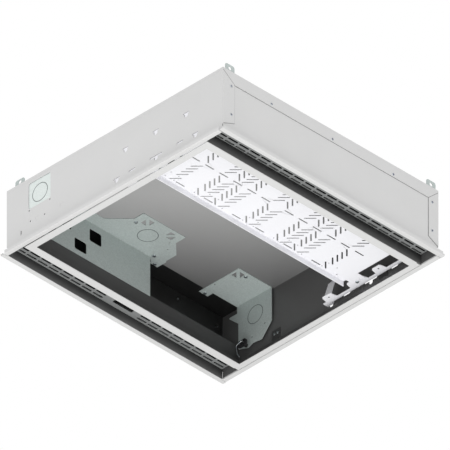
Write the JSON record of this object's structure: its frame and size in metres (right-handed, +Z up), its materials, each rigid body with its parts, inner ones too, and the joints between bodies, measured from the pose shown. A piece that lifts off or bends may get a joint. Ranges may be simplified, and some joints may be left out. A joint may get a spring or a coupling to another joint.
{
  "type": "ceiling outlet box",
  "caption": "Recessed ceiling box with a flange, a hinged access frame, vent channels, a perforated equipment plate and a galvanised wiring compartment.",
  "frame": {"origin": "middle of the ceiling opening, level with the underside of the flange", "axes": "+Z up into the ceiling void; +X from the catch side of the access frame to its hinges; +Y from the plate side to the wiring side"},
  "size_m": [0.606, 0.606, 0.173],
  "materials": {
    "powder_coat": "light grey powder coat on steel sheet",
    "white_enamel": "smooth white enamel on steel sheet",
    "galvanised_steel": "hot-dip galvanised sheet with a fine spangle",
    "zinc_plated_steel": "bright zinc plating",
    "spring_steel": "rolled strip",
    "black_nylon": "moulded black nylon"
  },
  "bodies": {
    "root": {"housing_shell": "powder_coat", "front_end_panel": "powder_coat", "back_end_panel": "powder_coat", "front_rail": "powder_coat", "back_rail": "powder_coat", "front_vent_grille": "powder_coat", "back_vent_grille": "powder_coat", "end_panel_rivets": "zinc_plated_steel", "front_hinge_bracket": "powder_coat", "back_hinge_bracket": "powder_coat", "hinge_rivets": "zinc_plated_steel", "front_catch_spring": "spring_steel", "back_catch_spring": "spring_steel", "equipment_plate": "white_enamel", "left_plate_bracket": "white_enamel", "right_plate_bracket": "white_enamel", "plate_screws": "zinc_plated_steel", "box_partition": "galvanised_steel", "box_liner": "galvanised_steel", "corner_liner": "galvanised_steel", "inlet_liner": "galvanised_steel", "liner_screws": "zinc_plated_steel", "stay_anchor": "black_nylon", "stay_wire": "zinc_plated_steel", "front_left_hanging_tab": "galvanised_steel", "front_right_hanging_tab": "galvanised_steel", "back_left_hanging_tab": "galvanised_steel", "back_right_hanging_tab": "galvanised_steel"},
    "access_frame": {"access_frame": "powder_coat", "front_hinge_leaf": "zinc_plated_steel", "back_hinge_leaf": "zinc_plated_steel", "front_hinge_pin": "zinc_plated_steel", "back_hinge_pin": "zinc_plated_steel"}
  },
  "joints": [
    {"name": "access_frame_hinge", "type": "hinge", "parent": "root", "child": "access_frame", "pos_m": [0.286, 0, 0.0042], "axis": [0, -1, 0], "range_deg": [0, 90]}
  ]
}
